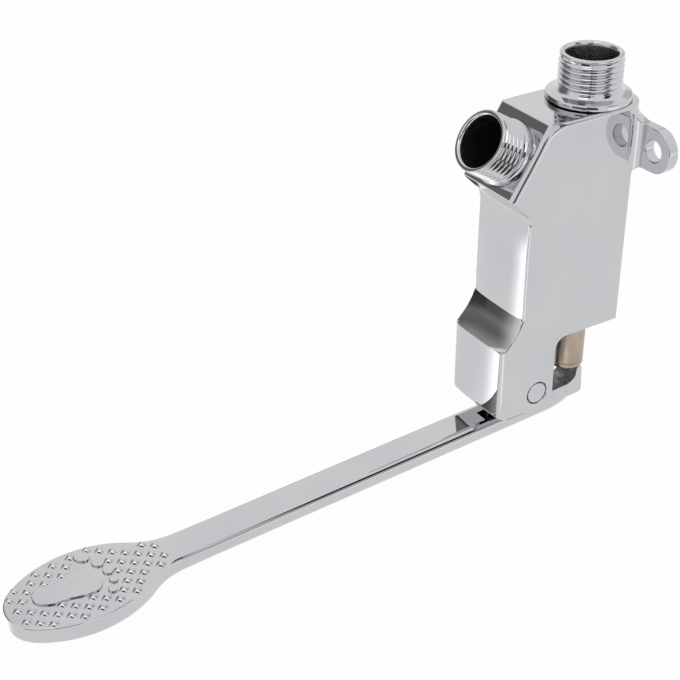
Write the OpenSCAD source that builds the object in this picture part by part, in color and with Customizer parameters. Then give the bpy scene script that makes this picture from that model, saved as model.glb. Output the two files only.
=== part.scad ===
// Foot pedal tap valve for a wall: a cast column with an inlet nipple on top, an outlet nipple on a
// sloping facet, and a long pedal that lifts a plunger to open the valve.
// Millimetres. +Z is up, the wall is the plane Y = 0 and the user stands at -Y.
// The origin lies midway between the two fixing holes, on the wall.

/* [Column] */
// Width of the column across its flat sides
body_w = 26.7; // [26:0.1:32]
// Half width of the flat strip on the back
back_flat = 5.35; // [4:0.05:6]
// Distance from the wall to the upright rear edges below the ears
back_edge = 4.8; // [3:0.1:6]
// Distance from the wall to the upright axis of inlet, stem and plunger
wall_to_axis = 14; // [13.9:0.1:18]
// Height of the top face above the fixing holes
hole_drop = 13.6; // [13:0.1:18]
// Rounding of the long top edges
top_round = 1.4; // [0.5:0.1:1.8]
// Rounding of the facet's long edges
facet_round = 2.2; // [0.5:0.1:3]
// Distance from the upright axis to the upper edge of the outlet facet
facet_reach = 25.2; // [24:0.1:30]
// Length of the outlet facet down its slope
facet_len = 26.2; // [25:0.1:30]
// Angle of the outlet above the horizontal
outlet_tilt = 32; // [28:1:36]
// Outlet axis below the upper edge of the facet, along the slope
outlet_down = 13.9; // [13:0.1:15]
// Distance from the upright axis to the waist, the wall under the facet
waist_reach = 31.3; // [29:0.1:34]
// Rounding of the waist's upright edges
waist_round = 1; // [0.5:0.1:4]
// Blend between the facet's underside and the waist
waist_blend = 5; // [3:0.1:7]
// Lower end of the waist, below the top face
waist_low = 66.5; // [62:0.1:70]
// Distance from the upright axis to the chin's front face
chin_reach = 38.9; // [37:0.1:42]
// Rounding of the chin's upright edges
chin_round = 1.8; // [0.5:0.1:3]
// Upper edge of the chin, below the top face
chin_high = 77; // [75:0.1:80]
// Radius of the cove that runs out from the waist to the chin
cove_r = 22; // [18:1:40]
// Underside of the valve block, below the top face
block_low = 78; // [76:0.1:80]
// Underside of the two cheeks, below the top face
cheek_low = 103.5; // [102:0.1:106]
// Distance from the upright axis to the rear edge of the cheeks
cheek_back = 16.5; // [15:0.1:17.5]
// Rounding in the corner between block and cheeks
window_round = 4; // [2:0.1:6]

/* [Ears] */
// Distance between the two fixing holes
ear_span = 42; // [40:0.5:48]
// Radius of the ears' round ends
ear_r = 7.4; // [6.8:0.1:8]
// Thickness of the ears
ear_t = 3.8; // [3:0.1:5]
// Diameter of the fixing holes
ear_hole_d = 7.2; // [5:0.1:8]
// Blend between the column's side and the ears' front
ear_blend = 3.2; // [2:0.1:4]
// Blend above and below the ears
shoulder_blend = 4.3; // [2:0.1:4.4]

/* [Nipples] */
// Outside diameter of both pipe threads
thread_d = 20.955; // [20.5:0.005:21.5]
// Bore of both nipples
nipple_bore_d = 16.4; // [14:0.1:16.8]
// Bevel at the mouth of each bore
mouth_bevel = 0.5; // [0.2:0.1:0.8]
// Bevel on the outer rim of each thread
rim_bevel = 0.5; // [0.3:0.1:1.2]
// Diameter of the inlet collar
collar_d = 27.8; // [25:0.1:27.8]
// Height of the collar's straight rim
collar_rim_h = 1.2; // [0.8:0.1:1.6]
// Height of the collar's bevelled upper side
collar_bevel_h = 1.3; // [0.8:0.1:2]
// Height of the inlet rim above the top face
inlet_h = 15.3; // [13:0.1:18]
// Reach of the outlet rim beyond the facet
outlet_l = 12.3; // [11:0.1:15]
// Diameter of the outlet's plain shoulder
outlet_shoulder_d = 21.8; // [21.6:0.1:23]
// Length of the outlet's plain shoulder
outlet_shoulder_l = 1.8; // [1:0.1:2.5]
// Diameter of the screwed-in end of each nipple
spigot_d = 19; // [18.4:0.1:19.4]
// Length of the screwed-in end of each nipple
spigot_l = 8; // [6:0.1:8.5]
// Thickness of the inlet gasket
gasket_t = 0.3; // [0.2:0.1:1]
// Outside diameter of the inlet gasket
gasket_d = 24; // [22:0.1:25]
// Section diameter of the outlet O-ring
outlet_ring_d = 1.5; // [1.2:0.1:1.7]

/* [Waterway] */
// Diameter of the inlet chamber
inlet_room_d = 18.2; // [17.5:0.1:18.4]
// Diameter of the outlet chamber
outlet_room_d = 15; // [14:0.1:15.4]
// Diameter of the slanting channel to the outlet
channel_d = 10; // [8:0.1:10.5]
// Top of the valve seat, below the top face
seat_low = 17.5; // [17:0.1:18.5]
// Height of the seat ring with its lip
seat_h = 3.5; // [3:0.1:4]
// Height of the seat's lip
seat_lip_h = 0.5; // [0.3:0.1:0.8]
// Diameter of the opening in the seat
seat_bore_d = 12.4; // [11:0.1:12.6]
// Width of the seat's lip
seat_lip_w = 0.8; // [0.5:0.1:1]

/* [Stem and plunger] */
// Diameter of the valve stem
stem_d = 5; // [4:0.1:5.4]
// Diameter of the plunger
plunger_d = 12; // [11:0.1:12.4]
// Height of the plunger's top below the top face
plunger_high = 72; // [70:0.1:73]
// Bevel at the plunger's lower end
plunger_bevel = 0.9; // [0.4:0.1:1.2]
// Height of the plunger's fine groove above its lower end
plunger_groove_h = 2.2; // [1.8:0.1:3]
// Depth of the stem's thread in the plunger
stem_grip = 10; // [7:0.5:14]
// Diameter of the valve disc
disc_d = 14.8; // [14.6:0.1:15.6]
// Thickness of the valve disc's plate
disc_t = 2.4; // [2:0.1:3]
// Wall of the valve disc's skirt
disc_wall = 0.5; // [0.4:0.05:0.6]
// Thickness of the rubber disc
seal_t = 2.4; // [2:0.1:2.8]
// Depth of the skirt round the rubber disc
skirt_h = 1.5; // [1:0.1:1.8]
// Thickness of the washer under the rubber disc
seal_washer_t = 0.6; // [0.4:0.1:0.8]
// Diameter of the washer under the rubber disc
seal_washer_d = 9; // [8.6:0.1:10]
// Width of the seal nut across its flats
seal_nut_af = 8; // [7.5:0.1:8.5]
// Height of the seal nut
seal_nut_h = 2.6; // [2:0.1:3]

/* [Gland] */
// Outside diameter of the gland bush
gland_d = 17.1; // [16.4:0.1:17.6]
// Top of the gland bush, below the top face
gland_high = 41; // [40:0.1:42]
// Depth of the lower end of the gland bush inside the block
gland_inset = 0.4; // [0.2:0.1:1]
// Length of the gland bush's stem guide
guide_l = 15; // [14:0.1:16]
// Section diameter of the stem's O-rings
stem_ring_d = 1.7; // [1.4:0.1:1.8]
// Section diameter of the gland's O-ring
gland_ring_d = 1.45; // [1.2:0.05:1.6]
// Wire diameter of the return spring
spring_wire_d = 1.2; // [1:0.1:1.3]
// Middle diameter of the return spring
spring_d = 8.6; // [8:0.1:9.2]
// Turns of the return spring
spring_turns = 6; // [5:0.5:7]

/* [Pivot] */
// Distance from the upright axis to the pivot pin
pivot_reach = 23.3; // [22.5:0.1:24]
// Pivot pin below the top face
pivot_low = 97; // [96:0.1:98]
// Diameter of the pin's shank
pin_d = 6; // [5:0.1:6.4]
// Diameter of the pin's head
pin_head_d = 7.5; // [7:0.1:8]
// Thickness of the pin's head
pin_head_t = 2.4; // [1.5:0.1:3]
// Gap all round the pin's head
pin_head_gap = 0.4; // [0.2:0.05:0.6]
// Depth of the recess for the retaining clip
clip_recess = 2.2; // [1.8:0.1:3]
// Thickness of the retaining clip
clip_t = 0.8; // [0.6:0.1:1]
// Diameter of the retaining clip
clip_d = 9.2; // [9:0.1:10]
// Width of the slot between the cheeks
slot_w = 12; // [11.4:0.1:13]
// Thickness of the chin's front wall
chin_wall = 5.7; // [4.5:0.1:6.5]
// Outside diameter of the pivot bush
bush_d = 9; // [8:0.1:9.6]
// Thickness of each side washer
washer_t = 0.9; // [0.6:0.1:1.1]
// Diameter of the side washers
washer_d = 12.4; // [11.5:0.1:13]

/* [Pedal] */
// Width of the pedal's bar
bar_w = 13; // [12:0.1:13.2]
// Thickness of the pedal's bar and pad
bar_t = 6.4; // [5.5:0.1:7]
// Rounding along the bar's edges
bar_round = 2.6; // [1.5:0.1:2.7]
// Distance below the cheeks to the bar's top, square under the pin
bar_drop = 3.7; // [3.3:0.1:5.5]
// Slope of the pedal at rest
pedal_slope = 3.4; // [2:0.1:5]
// Radius of the pedal's hub round the pin
hub_r = 6.5; // [6.2:0.1:7]
// Distance from the pivot pin to the middle of the lip's crown
lip_reach = 25.75; // [25:0.05:26.5]
// Thickness of the upturned lip
lip_t = 2.5; // [2:0.1:3]
// Height of the lip's crown above the bar
lip_h = 6.4; // [5.8:0.1:6.8]
// Thickness of the narrow tail under the lip
tail_t = 4.7; // [3.5:0.1:5.4]
// Distance from the pivot pin to the rear end of the wide bar
bar_back = 19; // [16:0.5:21]
// Distance from the pivot pin to the middle of the pad
pad_reach = 163; // [130:1:200]
// Length of the oval pad
pad_l = 49.6; // [44:0.2:60]
// Width of the oval pad
pad_w = 32.8; // [30:0.2:38]
// Radius of the pad's round ends
pad_end_r = 12.3; // [11:0.1:13]
// Radius of the hollow curve from bar to pad
neck_r = 20; // [14:1:28]

/* [Clearances] */
// Radial gap of screwed and pushed fits
fit = 0.05; // [0.02:0.01:0.08]
// Radial running gap of pin, stem and plunger
run = 0.05; // [0.03:0.01:0.1]
// Gap between moving and fixed faces
gap = 0.3; // [0.2:0.05:0.5]
// Gap between the rubber disc and the seat's lip when closed
seat_gap = 0.1; // [0.05:0.05:0.2]

/* [Hidden] */
$fn = 96;

// Sink of a cut beyond the face that it opens
over = 1;
// How far a blend's arc runs into the faces that it meets, too little to see
lap = 0.001;
axis_y = -wall_to_axis;
top_z = hole_drop;
back_round = body_w / 2 - back_flat;
col_x = body_w / 2;

// Side profile: each point is [Y, Z]
facet_top = [axis_y - facet_reach, top_z];
facet_dir = [-sin(outlet_tilt), -cos(outlet_tilt)];
facet_low = facet_top + facet_len * facet_dir;
waist_y = axis_y - waist_reach;
waist_top = [waist_y, facet_low[1] - (waist_y - facet_low[0])];
cove_top = [waist_y, top_z - waist_low];
chin_top = [axis_y - chin_reach, top_z - chin_high];
block_z = top_z - block_low;
cheek_z = top_z - cheek_low;
cheek_y = axis_y - cheek_back;
// The underside meets the waist at 45 degrees, so the blend turns through that angle
blend_run = waist_blend * tan(22.5);
blend_mid = waist_top - waist_blend / cos(22.5) * [cos(22.5), sin(22.5)];

// Outlet frame: its origin lies on the facet and its axis is the facet's normal
outlet_pt = facet_top + outlet_down * facet_dir;
// Distance along the outlet's axis from the facet back to the upright axis
outlet_run = (axis_y - outlet_pt[0]) / cos(outlet_tilt);

// Levels of the valve's inner pieces
seat_z = top_z - seat_low;
seal_z = seat_z + seat_gap;
disc_z = seal_z + seal_t;
seal_washer_z = seal_z - seal_washer_t;
seal_nut_z = seal_washer_z - seal_nut_h;
gland_top = top_z - gland_high;
gland_end = block_z + gland_inset;
guide_end = gland_top - guide_l;
plunger_top = top_z - plunger_high;
stem_r = stem_d / 2;
plunger_r = plunger_d / 2;

// Pivot and pedal. The pedal's own frame has its origin on the pin and slopes with the bar
pivot = [axis_y - pivot_reach, top_z - pivot_low];
bar_top = -(cheek_low - pivot_low) - bar_drop;
bar_mid = bar_top - bar_t / 2;
bar_end = bar_top - bar_t;
tail_end = lip_reach + lip_t / 2;
lip_top = bar_top + lip_h;
// The plunger stands just clear of the crown of the lip
crown = lip_top - lip_t / 2;
crown_z = pivot[1] + lip_reach * sin(pedal_slope) + crown * cos(pedal_slope) + lip_t / 2;
plunger_end = crown_z + gap;
hub_w = slot_w - 2 * (washer_t + gap);
clip_x = col_x - clip_recess;

// Pad: an oval of four arcs, two round ends and two long sides
pad_end_y = pad_l / 2 - pad_end_r;
pad_side_r = (pad_end_y * pad_end_y + pow(pad_w / 2, 2) - pow(pad_end_r, 2)) / (pad_w - 2 * pad_end_r);
pad_side_x = pad_side_r - pad_w / 2;
pad_meet = pad_end_y + pad_end_r * pad_end_y / norm([pad_side_x, pad_end_y]);
// The neck's hollow arcs touch the bar's sides and the pad's nearer round end
neck_x = bar_w / 2 + neck_r;
neck_y = -pad_reach + pad_end_y + sqrt(pow(neck_r + pad_end_r, 2) - pow(neck_x, 2));

// Stands a [Y, Z] shape on edge and gives it a width along X
module across(width) {
    rotate([90, 0, 90])
        linear_extrude(width, center = true)
            children();
}

// Cylinder along X from one place to another
module x_rod(r, from, to) {
    translate([from, pivot[0], pivot[1]])
        rotate([0, 90, 0])
            cylinder(r = r, h = to - from);
}

// Round bar on the upright axis between two levels
module post(r, low, high) {
    translate([0, axis_y, low])
        cylinder(r = r, h = high - low);
}

// Flat ring on the upright axis
module collar(r_in, r_out, low, high) {
    difference() {
        post(r_out, low, high);
        post(r_in, low - over, high + over);
    }
}

// O-ring on the upright axis with its middle at a level
module o_ring(r_in, section_d, level) {
    translate([0, axis_y, level])
        rotate_extrude()
            translate([r_in + section_d / 2, 0])
                circle(d = section_d);
}

// Places children on the outlet's axis, with +Z out of the facet
module on_outlet() {
    translate([0, outlet_pt[0], outlet_pt[1]])
        rotate([90 - outlet_tilt, 0, 0])
            children();
}

// Rectangle with four round corners
module round_rect(w, h, r) {
    square([w - 2 * r, h], center = true);
    square([w, h - 2 * r], center = true);
    for (x = [-1, 1], y = [-1, 1])
        translate([x * (w / 2 - r), y * (h / 2 - r)])
            circle(r);
}

// Material that fills a square corner, with its point at the origin, up to a round blend
module corner_fill(r) {
    difference() {
        square(r);
        translate([r, r])
            circle(r);
    }
}

// The same as a cut, which overlaps both faces of the corner
module edge_cut(r) {
    difference() {
        translate([-over, -over])
            square(r + over);
        translate([r, r])
            circle(r);
    }
}

// Plan of the column at the ears' height: flat sides and rounded rear corners
module upper_plan(front) {
    translate([-col_x, front])
        square([body_w, -back_round - front]);
    translate([-back_flat, -back_round])
        square([2 * back_flat, back_round]);
    for (s = [-1, 1])
        translate([s * back_flat, -back_round])
            circle(back_round);
}

// Plan of the column below the ears: crisp rear edges that slope to the wall, rounded front corners
module lower_plan(front, r) {
    difference() {
        polygon([[-col_x, front], [col_x, front], [col_x, -back_edge], [back_flat, 0], [-back_flat, 0],
            [-col_x, -back_edge]]);
        for (s = [0, 1])
            mirror([s, 0])
                translate([-col_x, front])
                    corner_fill(r);
    }
}

// Side view of the column, with the waist's blend, the cove and the window's round corner
module column_side() {
    chord = chin_top - cove_top;
    strip = norm(chord) / 4;
    inward = [-chord[1], chord[0]] / norm(chord);
    centre = (cove_top + chin_top) / 2 - inward * sqrt(pow(cove_r, 2) - pow(norm(chord) / 2, 2));
    difference() {
        polygon([[0, top_z], facet_top, facet_low, waist_top, cove_top, chin_top,
            [chin_top[0], cheek_z], [cheek_y, cheek_z], [cheek_y, block_z], [0, block_z]]);
        intersection() {
            translate(centre)
                circle(cove_r);
            polygon([cove_top, chin_top, chin_top + strip * inward, cove_top + strip * inward]);
        }
    }
    difference() {
        polygon([waist_top + [over, 0], waist_top + blend_run * [-sin(45), cos(45)],
            waist_top - [0, blend_run]]);
        translate(blend_mid)
            circle(waist_blend + lap);
    }
    translate([cheek_y, block_z])
        mirror([0, 1])
            corner_fill(window_round);
}

// Cuts that round the facet's long edges
module facet_edges() {
    for (s = [0, 1])
        mirror([s, 0, 0])
            translate([col_x, facet_top[0], facet_top[1]])
                rotate([90 - outlet_tilt, 0, 0])
                    rotate([90, 0, 0])
                        translate([0, 0, -facet_len])
                            linear_extrude(3 * facet_len)
                                rotate(180)
                                    edge_cut(facet_round);
}

// Front view of the column, with its long top edges rounded
module column_front() {
    difference() {
        translate([-col_x, cheek_z])
            square([body_w, cheek_low]);
        for (s = [0, 1])
            mirror([s, 0])
                translate([-col_x, top_z])
                    mirror([0, 1])
                        edge_cut(top_round);
    }
}

// The column without its ears: three views cut out of each other
module column() {
    far = facet_low[0] - chin_reach;
    waist_hi = waist_top[1] - blend_run;
    // The plan changes inside the ears' height, where their blend covers the step
    ear_low = -ear_r / 2;
    difference() {
        intersection() {
            across(body_w)
                column_side();
            union() {
                translate([0, 0, ear_low])
                    linear_extrude(top_z - ear_low)
                        upper_plan(far);
                translate([0, 0, waist_hi])
                    linear_extrude(ear_low - waist_hi)
                        lower_plan(far, chin_round);
                translate([0, 0, cove_top[1]])
                    linear_extrude(waist_hi - cove_top[1])
                        lower_plan(waist_y, waist_round);
                translate([0, 0, cheek_z])
                    linear_extrude(cove_top[1] - cheek_z)
                        lower_plan(chin_top[0], chin_round);
            }
            rotate([90, 0, 0])
                linear_extrude(-far)
                    column_front();
        }
        facet_edges();
    }
}

// Half of the wall flange: one ear, blended into the column's side, top and bottom
module ear() {
    blend_y = -ear_t - ear_blend;
    blend_x = back_flat + sqrt(pow(back_round + ear_blend, 2) - pow(back_round + blend_y, 2));
    shoulder_x = back_round + shoulder_blend;
    shoulder_z = ear_r + shoulder_blend;
    difference() {
        intersection() {
            rotate([90, 0, 0])
                linear_extrude(-blend_y) {
                    translate([0, -ear_r])
                        square([ear_span / 2, 2 * ear_r]);
                    translate([0, -shoulder_z])
                        square([back_flat + shoulder_x, 2 * shoulder_z]);
                    translate([ear_span / 2, 0])
                        circle(ear_r);
                }
            translate([0, 0, -shoulder_z - over])
                linear_extrude(2 * (shoulder_z + over)) {
                    translate([0, -ear_t])
                        square([ear_span / 2 + ear_r, ear_t]);
                    difference() {
                        polygon([[back_flat, -back_round], [blend_x, blend_y], [blend_x, -ear_t],
                            [back_flat, -ear_t]]);
                        translate([blend_x, blend_y])
                            circle(ear_blend);
                    }
                }
        }
        for (s = [0, 1])
            mirror([0, 0, s])
                translate([back_flat, -back_round, 0])
                    rotate_extrude() {
                        translate([shoulder_x, ear_r])
                            square([ear_span, shoulder_z]);
                        translate([back_round, shoulder_z])
                            square([ear_span, shoulder_z]);
                        translate([shoulder_x, shoulder_z])
                            circle(shoulder_blend);
                    }
        translate([ear_span / 2, over, 0])
            rotate([90, 0, 0])
                cylinder(d = ear_hole_d, h = ear_t + ear_blend + 2 * over);
    }
}

// Bores of the column: inlet, chambers, gland and the slanting outlet channel
module waterway() {
    post(spigot_d / 2 + fit, top_z - spigot_l - fit, top_z + over);
    post(inlet_room_d / 2, seat_z - seat_h + seat_lip_h, top_z - spigot_l);
    post(outlet_room_d / 2, gland_top - over, seat_z);
    post(gland_d / 2 + fit, block_z - over, gland_top);
    on_outlet() {
        translate([0, 0, -spigot_l - fit])
            cylinder(d = spigot_d + 2 * fit, h = spigot_l + fit + over);
        translate([0, 0, -outlet_ring_d - fit])
            cylinder(d = spigot_d + 2 * outlet_ring_d + 4 * fit, h = outlet_ring_d + fit + over);
        translate([0, 0, -outlet_run])
            cylinder(d = channel_d, h = outlet_run);
    }
}

// Slot between the cheeks for the pedal's hub, open below and behind
module hub_slot() {
    slot_front = chin_top[0] + chin_wall;
    slot_top = pivot[1] + hub_r + 3 * gap;
    translate([-slot_w / 2, slot_front, cheek_z - over])
        cube([slot_w, cheek_y + over - slot_front, slot_top - cheek_z + over]);
}

// Holes in the cheeks for the pivot pin, its sunk head and its clip
module pin_holes() {
    x_rod(pin_d / 2 + fit, -col_x - over, col_x + over);
    x_rod(pin_head_d / 2 + pin_head_gap, col_x - pin_head_t - fit, col_x + over);
    x_rod(clip_d / 2 + gap, -col_x - over, -clip_x);
}

// Chromed casting: column, facet, waist, chin, cheeks and ears in one piece
module valve_body() {
    color("gainsboro")
        difference() {
            union() {
                column();
                for (s = [0, 1])
                    mirror([s, 0, 0])
                        ear();
            }
            waterway();
            hub_slot();
            pin_holes();
        }
}

// Turned inlet nipple with its collar; the thread's crests lie on the plain cylinder
module inlet_nipple() {
    low = gasket_t;
    bevel_z = low + collar_rim_h;
    thread_z = bevel_z + collar_bevel_h;
    bore = nipple_bore_d / 2;
    thread = thread_d / 2;
    color("silver")
        translate([0, axis_y, top_z])
            rotate_extrude()
                polygon([[bore, -spigot_l], [spigot_d / 2, -spigot_l], [spigot_d / 2, low],
                    [collar_d / 2, low], [collar_d / 2, bevel_z], [thread + fit, thread_z],
                    [thread, thread_z], [thread, inlet_h - rim_bevel],
                    [thread - rim_bevel, inlet_h], [bore + mouth_bevel, inlet_h],
                    [bore, inlet_h - mouth_bevel]]);
}

module inlet_gasket() {
    color("dimgray")
        collar(spigot_d / 2 + fit, gasket_d / 2, top_z, top_z + gasket_t);
}

// Turned outlet nipple, screwed into the facet up to its plain shoulder
module outlet_nipple() {
    bore = nipple_bore_d / 2;
    thread = thread_d / 2;
    color("silver")
        on_outlet()
            rotate_extrude()
                polygon([[bore, -spigot_l], [spigot_d / 2, -spigot_l], [spigot_d / 2, 0],
                    [outlet_shoulder_d / 2, 0], [outlet_shoulder_d / 2, outlet_shoulder_l],
                    [thread, outlet_shoulder_l], [thread, outlet_l - rim_bevel],
                    [thread - rim_bevel, outlet_l], [bore + mouth_bevel, outlet_l],
                    [bore, outlet_l - mouth_bevel]]);
}

// Lies in the recess at the mouth of the facet's hole
module outlet_o_ring() {
    color("black")
        on_outlet()
            translate([0, 0, -outlet_ring_d / 2])
                rotate_extrude()
                    translate([spigot_d / 2 + fit + outlet_ring_d / 2, 0])
                        circle(d = outlet_ring_d);
}

// Pressed-in ring with the raised lip that the rubber disc closes
module valve_seat() {
    bore = seat_bore_d / 2;
    color("darkgoldenrod")
        translate([0, axis_y, seat_z])
            rotate_extrude()
                polygon([[bore, seat_lip_h - seat_h], [inlet_room_d / 2 - fit, seat_lip_h - seat_h],
                    [inlet_room_d / 2 - fit, -seat_lip_h], [bore + seat_lip_w, -seat_lip_h],
                    [bore + seat_lip_w, 0], [bore, 0]]);
}

// Guides the stem above and the plunger below, with grooves for the O-rings
module gland_bush() {
    color("goldenrod")
        difference() {
            post(gland_d / 2, gland_end, gland_top);
            post(stem_r + run, gland_end - over, gland_top + over);
            post(plunger_r + run, gland_end - over, guide_end);
            for (level = stem_ring_levels())
                post(stem_r + run + stem_ring_d + fit, level - groove_h(stem_ring_d) / 2,
                    level + groove_h(stem_ring_d) / 2);
            collar(gland_d / 2 - gland_ring_d - fit, gland_d / 2 + over,
                gland_ring_level() - groove_h(gland_ring_d) / 2,
                gland_ring_level() + groove_h(gland_ring_d) / 2);
        }
}

// Height of the groove for an O-ring
function groove_h(section_d) = 1.3 * section_d;
// Middles of the two stem O-rings and of the gland's O-ring between them
function stem_ring_levels() = [gland_top - guide_l / 4, gland_top - 3 * guide_l / 4];
function gland_ring_level() = gland_top - guide_l / 2;

module gland_o_ring() {
    color("black")
        o_ring(gland_d / 2 - gland_ring_d, gland_ring_d, gland_ring_level());
}

module stem_o_rings() {
    color("black")
        for (level = stem_ring_levels())
            o_ring(stem_r + run, stem_ring_d, level);
}

// Sides of the spring's wire and rings in each of its turns
wire_sides = 6;
turn_rings = 16;
spring_rings = spring_turns * turn_rings;
spring_low = plunger_top + fit + spring_wire_d / 2;
spring_rise = guide_end - fit - spring_wire_d / 2 - spring_low;
function spring_point(i) = let (a = 360 * i / turn_rings)
    [spring_d / 2 * cos(a), axis_y + spring_d / 2 * sin(a), spring_low + spring_rise * i / spring_rings];
// One ring of the wire, in the upright plane through the spring's axis
function wire_ring(i) = let (a = 360 * i / turn_rings, c = spring_point(i))
    [for (k = [0 : wire_sides - 1]) let (b = 360 * k / wire_sides)
        c + spring_wire_d / 2 * [cos(b) * cos(a), cos(b) * sin(a), sin(b)]];
// Least gap between neighbouring turns
spring_gap = spring_rise / spring_turns - spring_wire_d;
echo(spring_gap = spring_gap);

// Coil spring between the stem guide and the plunger, one unbroken wire
module return_spring() {
    last = spring_rings * wire_sides;
    points = [for (i = [0 : spring_rings]) each wire_ring(i)];
    walls = [for (i = [0 : spring_rings - 1], k = [0 : wire_sides - 1])
        let (a = i * wire_sides + k, b = i * wire_sides + (k + 1) % wire_sides)
        each [[a, a + wire_sides, b], [b, a + wire_sides, b + wire_sides]]];
    ends = [for (k = [1 : wire_sides - 2]) each [[0, k, k + 1], [last, last + k + 1, last + k]]];
    color("lightslategray")
        polyhedron(points, concat(walls, ends));
}

// Pin with a sunk head on one side and a clip groove near its other end
module pivot_pin() {
    color("lightgray")
        difference() {
            union() {
                x_rod(pin_d / 2, gap - col_x, col_x - pin_head_t / 2);
                x_rod(pin_head_d / 2, col_x - pin_head_t, col_x - fit);
            }
            difference() {
                x_rod(pin_d / 2 + over, -clip_x - clip_t - fit, -clip_x);
                x_rod(pin_d / 2 - clip_t, -clip_x - clip_t - over, -clip_x + over);
            }
        }
}

// Open retaining ring that snaps into the pin's groove
module pin_clip() {
    mouth = pin_d - 2 * clip_t;
    color("dimgray")
        difference() {
            x_rod(clip_d / 2, -clip_x - clip_t, -clip_x - fit);
            x_rod(pin_d / 2 - clip_t + fit, -clip_x - clip_t - over, -clip_x + over);
            translate([-clip_x - clip_t - over, pivot[0] - mouth / 2, pivot[1] - clip_d])
                cube([clip_t + 2 * over, mouth, clip_d]);
        }
}

// The push rod that shows behind the cheeks, with a bevelled end and a fine turned groove
module plunger() {
    groove_z = plunger_end + plunger_groove_h;
    groove = fit * 4;
    color("rosybrown")
        difference() {
            translate([0, axis_y, 0])
                rotate_extrude()
                    polygon([[0, plunger_end], [plunger_r - plunger_bevel, plunger_end],
                        [plunger_r, plunger_end + plunger_bevel], [plunger_r, groove_z],
                        [plunger_r - groove, groove_z + groove], [plunger_r, groove_z + 2 * groove],
                        [plunger_r, plunger_top], [0, plunger_top]]);
            post(stem_r + fit, plunger_top - stem_grip - fit, plunger_top + over);
        }
}

module valve_stem() {
    color("silver")
        post(stem_r, plunger_top - stem_grip, disc_z + disc_t);
}

// Brass plate with a short skirt round the rubber disc
module valve_disc() {
    color("goldenrod")
        difference() {
            post(disc_d / 2, disc_z - skirt_h, disc_z + disc_t);
            post(disc_d / 2 - disc_wall, disc_z - skirt_h - over, disc_z);
            post(stem_r + fit, disc_z - over, disc_z + disc_t + over);
        }
}

module disc_seal() {
    color("black")
        collar(stem_r + fit, disc_d / 2 - disc_wall - fit, seal_z, disc_z);
}

module seal_washer() {
    color("silver")
        collar(stem_r + fit, seal_washer_d / 2, seal_washer_z, seal_z);
}

module seal_nut() {
    color("goldenrod")
        difference() {
            translate([0, axis_y, seal_nut_z])
                cylinder(d = seal_nut_af / cos(30), h = seal_nut_h, $fn = 6);
            post(stem_r + fit, seal_nut_z - over, seal_washer_z + over);
        }
}

// Places children in the pedal's own frame, on the pin and along the slope of the bar
module on_pedal() {
    translate([0, pivot[0], pivot[1]])
        rotate([pedal_slope, 0, 0])
            children();
}

// Oval of the pad, with its middle at the origin
module pad_oval() {
    for (s = [-1, 1])
        translate([0, s * pad_end_y])
            circle(pad_end_r);
    intersection() {
        square([pad_w, 2 * pad_meet], center = true);
        translate([pad_side_x, 0])
            circle(pad_side_r);
        translate([-pad_side_x, 0])
            circle(pad_side_r);
    }
}

// Plan of the pad and of the neck that swells out of the bar
module pad_plan() {
    end_y = -pad_reach + pad_end_y;
    translate([0, -pad_reach])
        pad_oval();
    difference() {
        polygon([[0, end_y], [neck_x, neck_y], [bar_w / 2, neck_y], [-bar_w / 2, neck_y], [-neck_x, neck_y]]);
        for (s = [-1, 1])
            translate([s * neck_x, neck_y])
                circle(neck_r);
    }
}

// Side view of the hub and of the web down to the bar, as [Y, Z] from the pin
module hub_side() {
    circle(hub_r);
    polygon([[-hub_r, 0], [-hub_r - over, bar_mid], [hub_r + over, bar_mid], [hub_r, 0]]);
}

// Side view of the narrow tail: a hollow that sweeps up into the round-topped lip
module tail_side() {
    lip_front = tail_end - lip_t;
    hollow_r = crown - bar_top;
    translate([lip_reach, crown])
        circle(d = lip_t);
    difference() {
        translate([0, bar_top - tail_t])
            square([tail_end, hollow_r + tail_t]);
        translate([lip_front - hollow_r, crown])
            circle(hollow_r);
        translate([-over, bar_top])
            square([lip_front - hollow_r + over, hollow_r + over]);
    }
}

// Chromed casting: pad, neck, bar, hub and lip in one piece
module pedal_lever() {
    color("gainsboro")
        on_pedal()
            difference() {
                union() {
                    translate([0, bar_back, bar_mid])
                        rotate([90, 0, 0])
                            linear_extrude(bar_back + pad_reach)
                                round_rect(bar_w, bar_t, bar_round);
                    translate([0, 0, bar_end])
                        linear_extrude(bar_t)
                            pad_plan();
                    across(hub_w)
                        hub_side();
                    across(hub_w)
                        tail_side();
                }
                rotate([0, 90, 0])
                    cylinder(d = bush_d, h = 2 * slot_w, center = true);
            }
}

module pivot_bush() {
    color("darkgoldenrod")
        difference() {
            x_rod(bush_d / 2 - fit, -hub_w / 2, hub_w / 2);
            x_rod(pin_d / 2 + run, -slot_w, slot_w);
        }
}

module side_washers() {
    color("ivory")
        for (s = [0, 1])
            mirror([s, 0, 0])
                difference() {
                    x_rod(washer_d / 2, hub_w / 2, hub_w / 2 + washer_t);
                    x_rod(pin_d / 2 + run, 0, slot_w);
                }
}

valve_body();
inlet_nipple();
inlet_gasket();
outlet_nipple();
outlet_o_ring();
valve_seat();
gland_bush();
gland_o_ring();
stem_o_rings();
return_spring();
pivot_pin();
pin_clip();
plunger();
valve_stem();
valve_disc();
disc_seal();
seal_washer();
seal_nut();
pedal_lever();
pivot_bush();
side_washers();
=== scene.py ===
"""Dresses the foot pedal tap valve: chromed column, threaded nipples, plunger and studded pedal."""

import itertools
import logging
import math
from collections.abc import Iterable
from dataclasses import dataclass
from enum import Enum

import bmesh
import bpy
from bmesh.types import BMEdge, BMesh, BMFace, BMVert
from mathutils import Matrix, Vector


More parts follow.
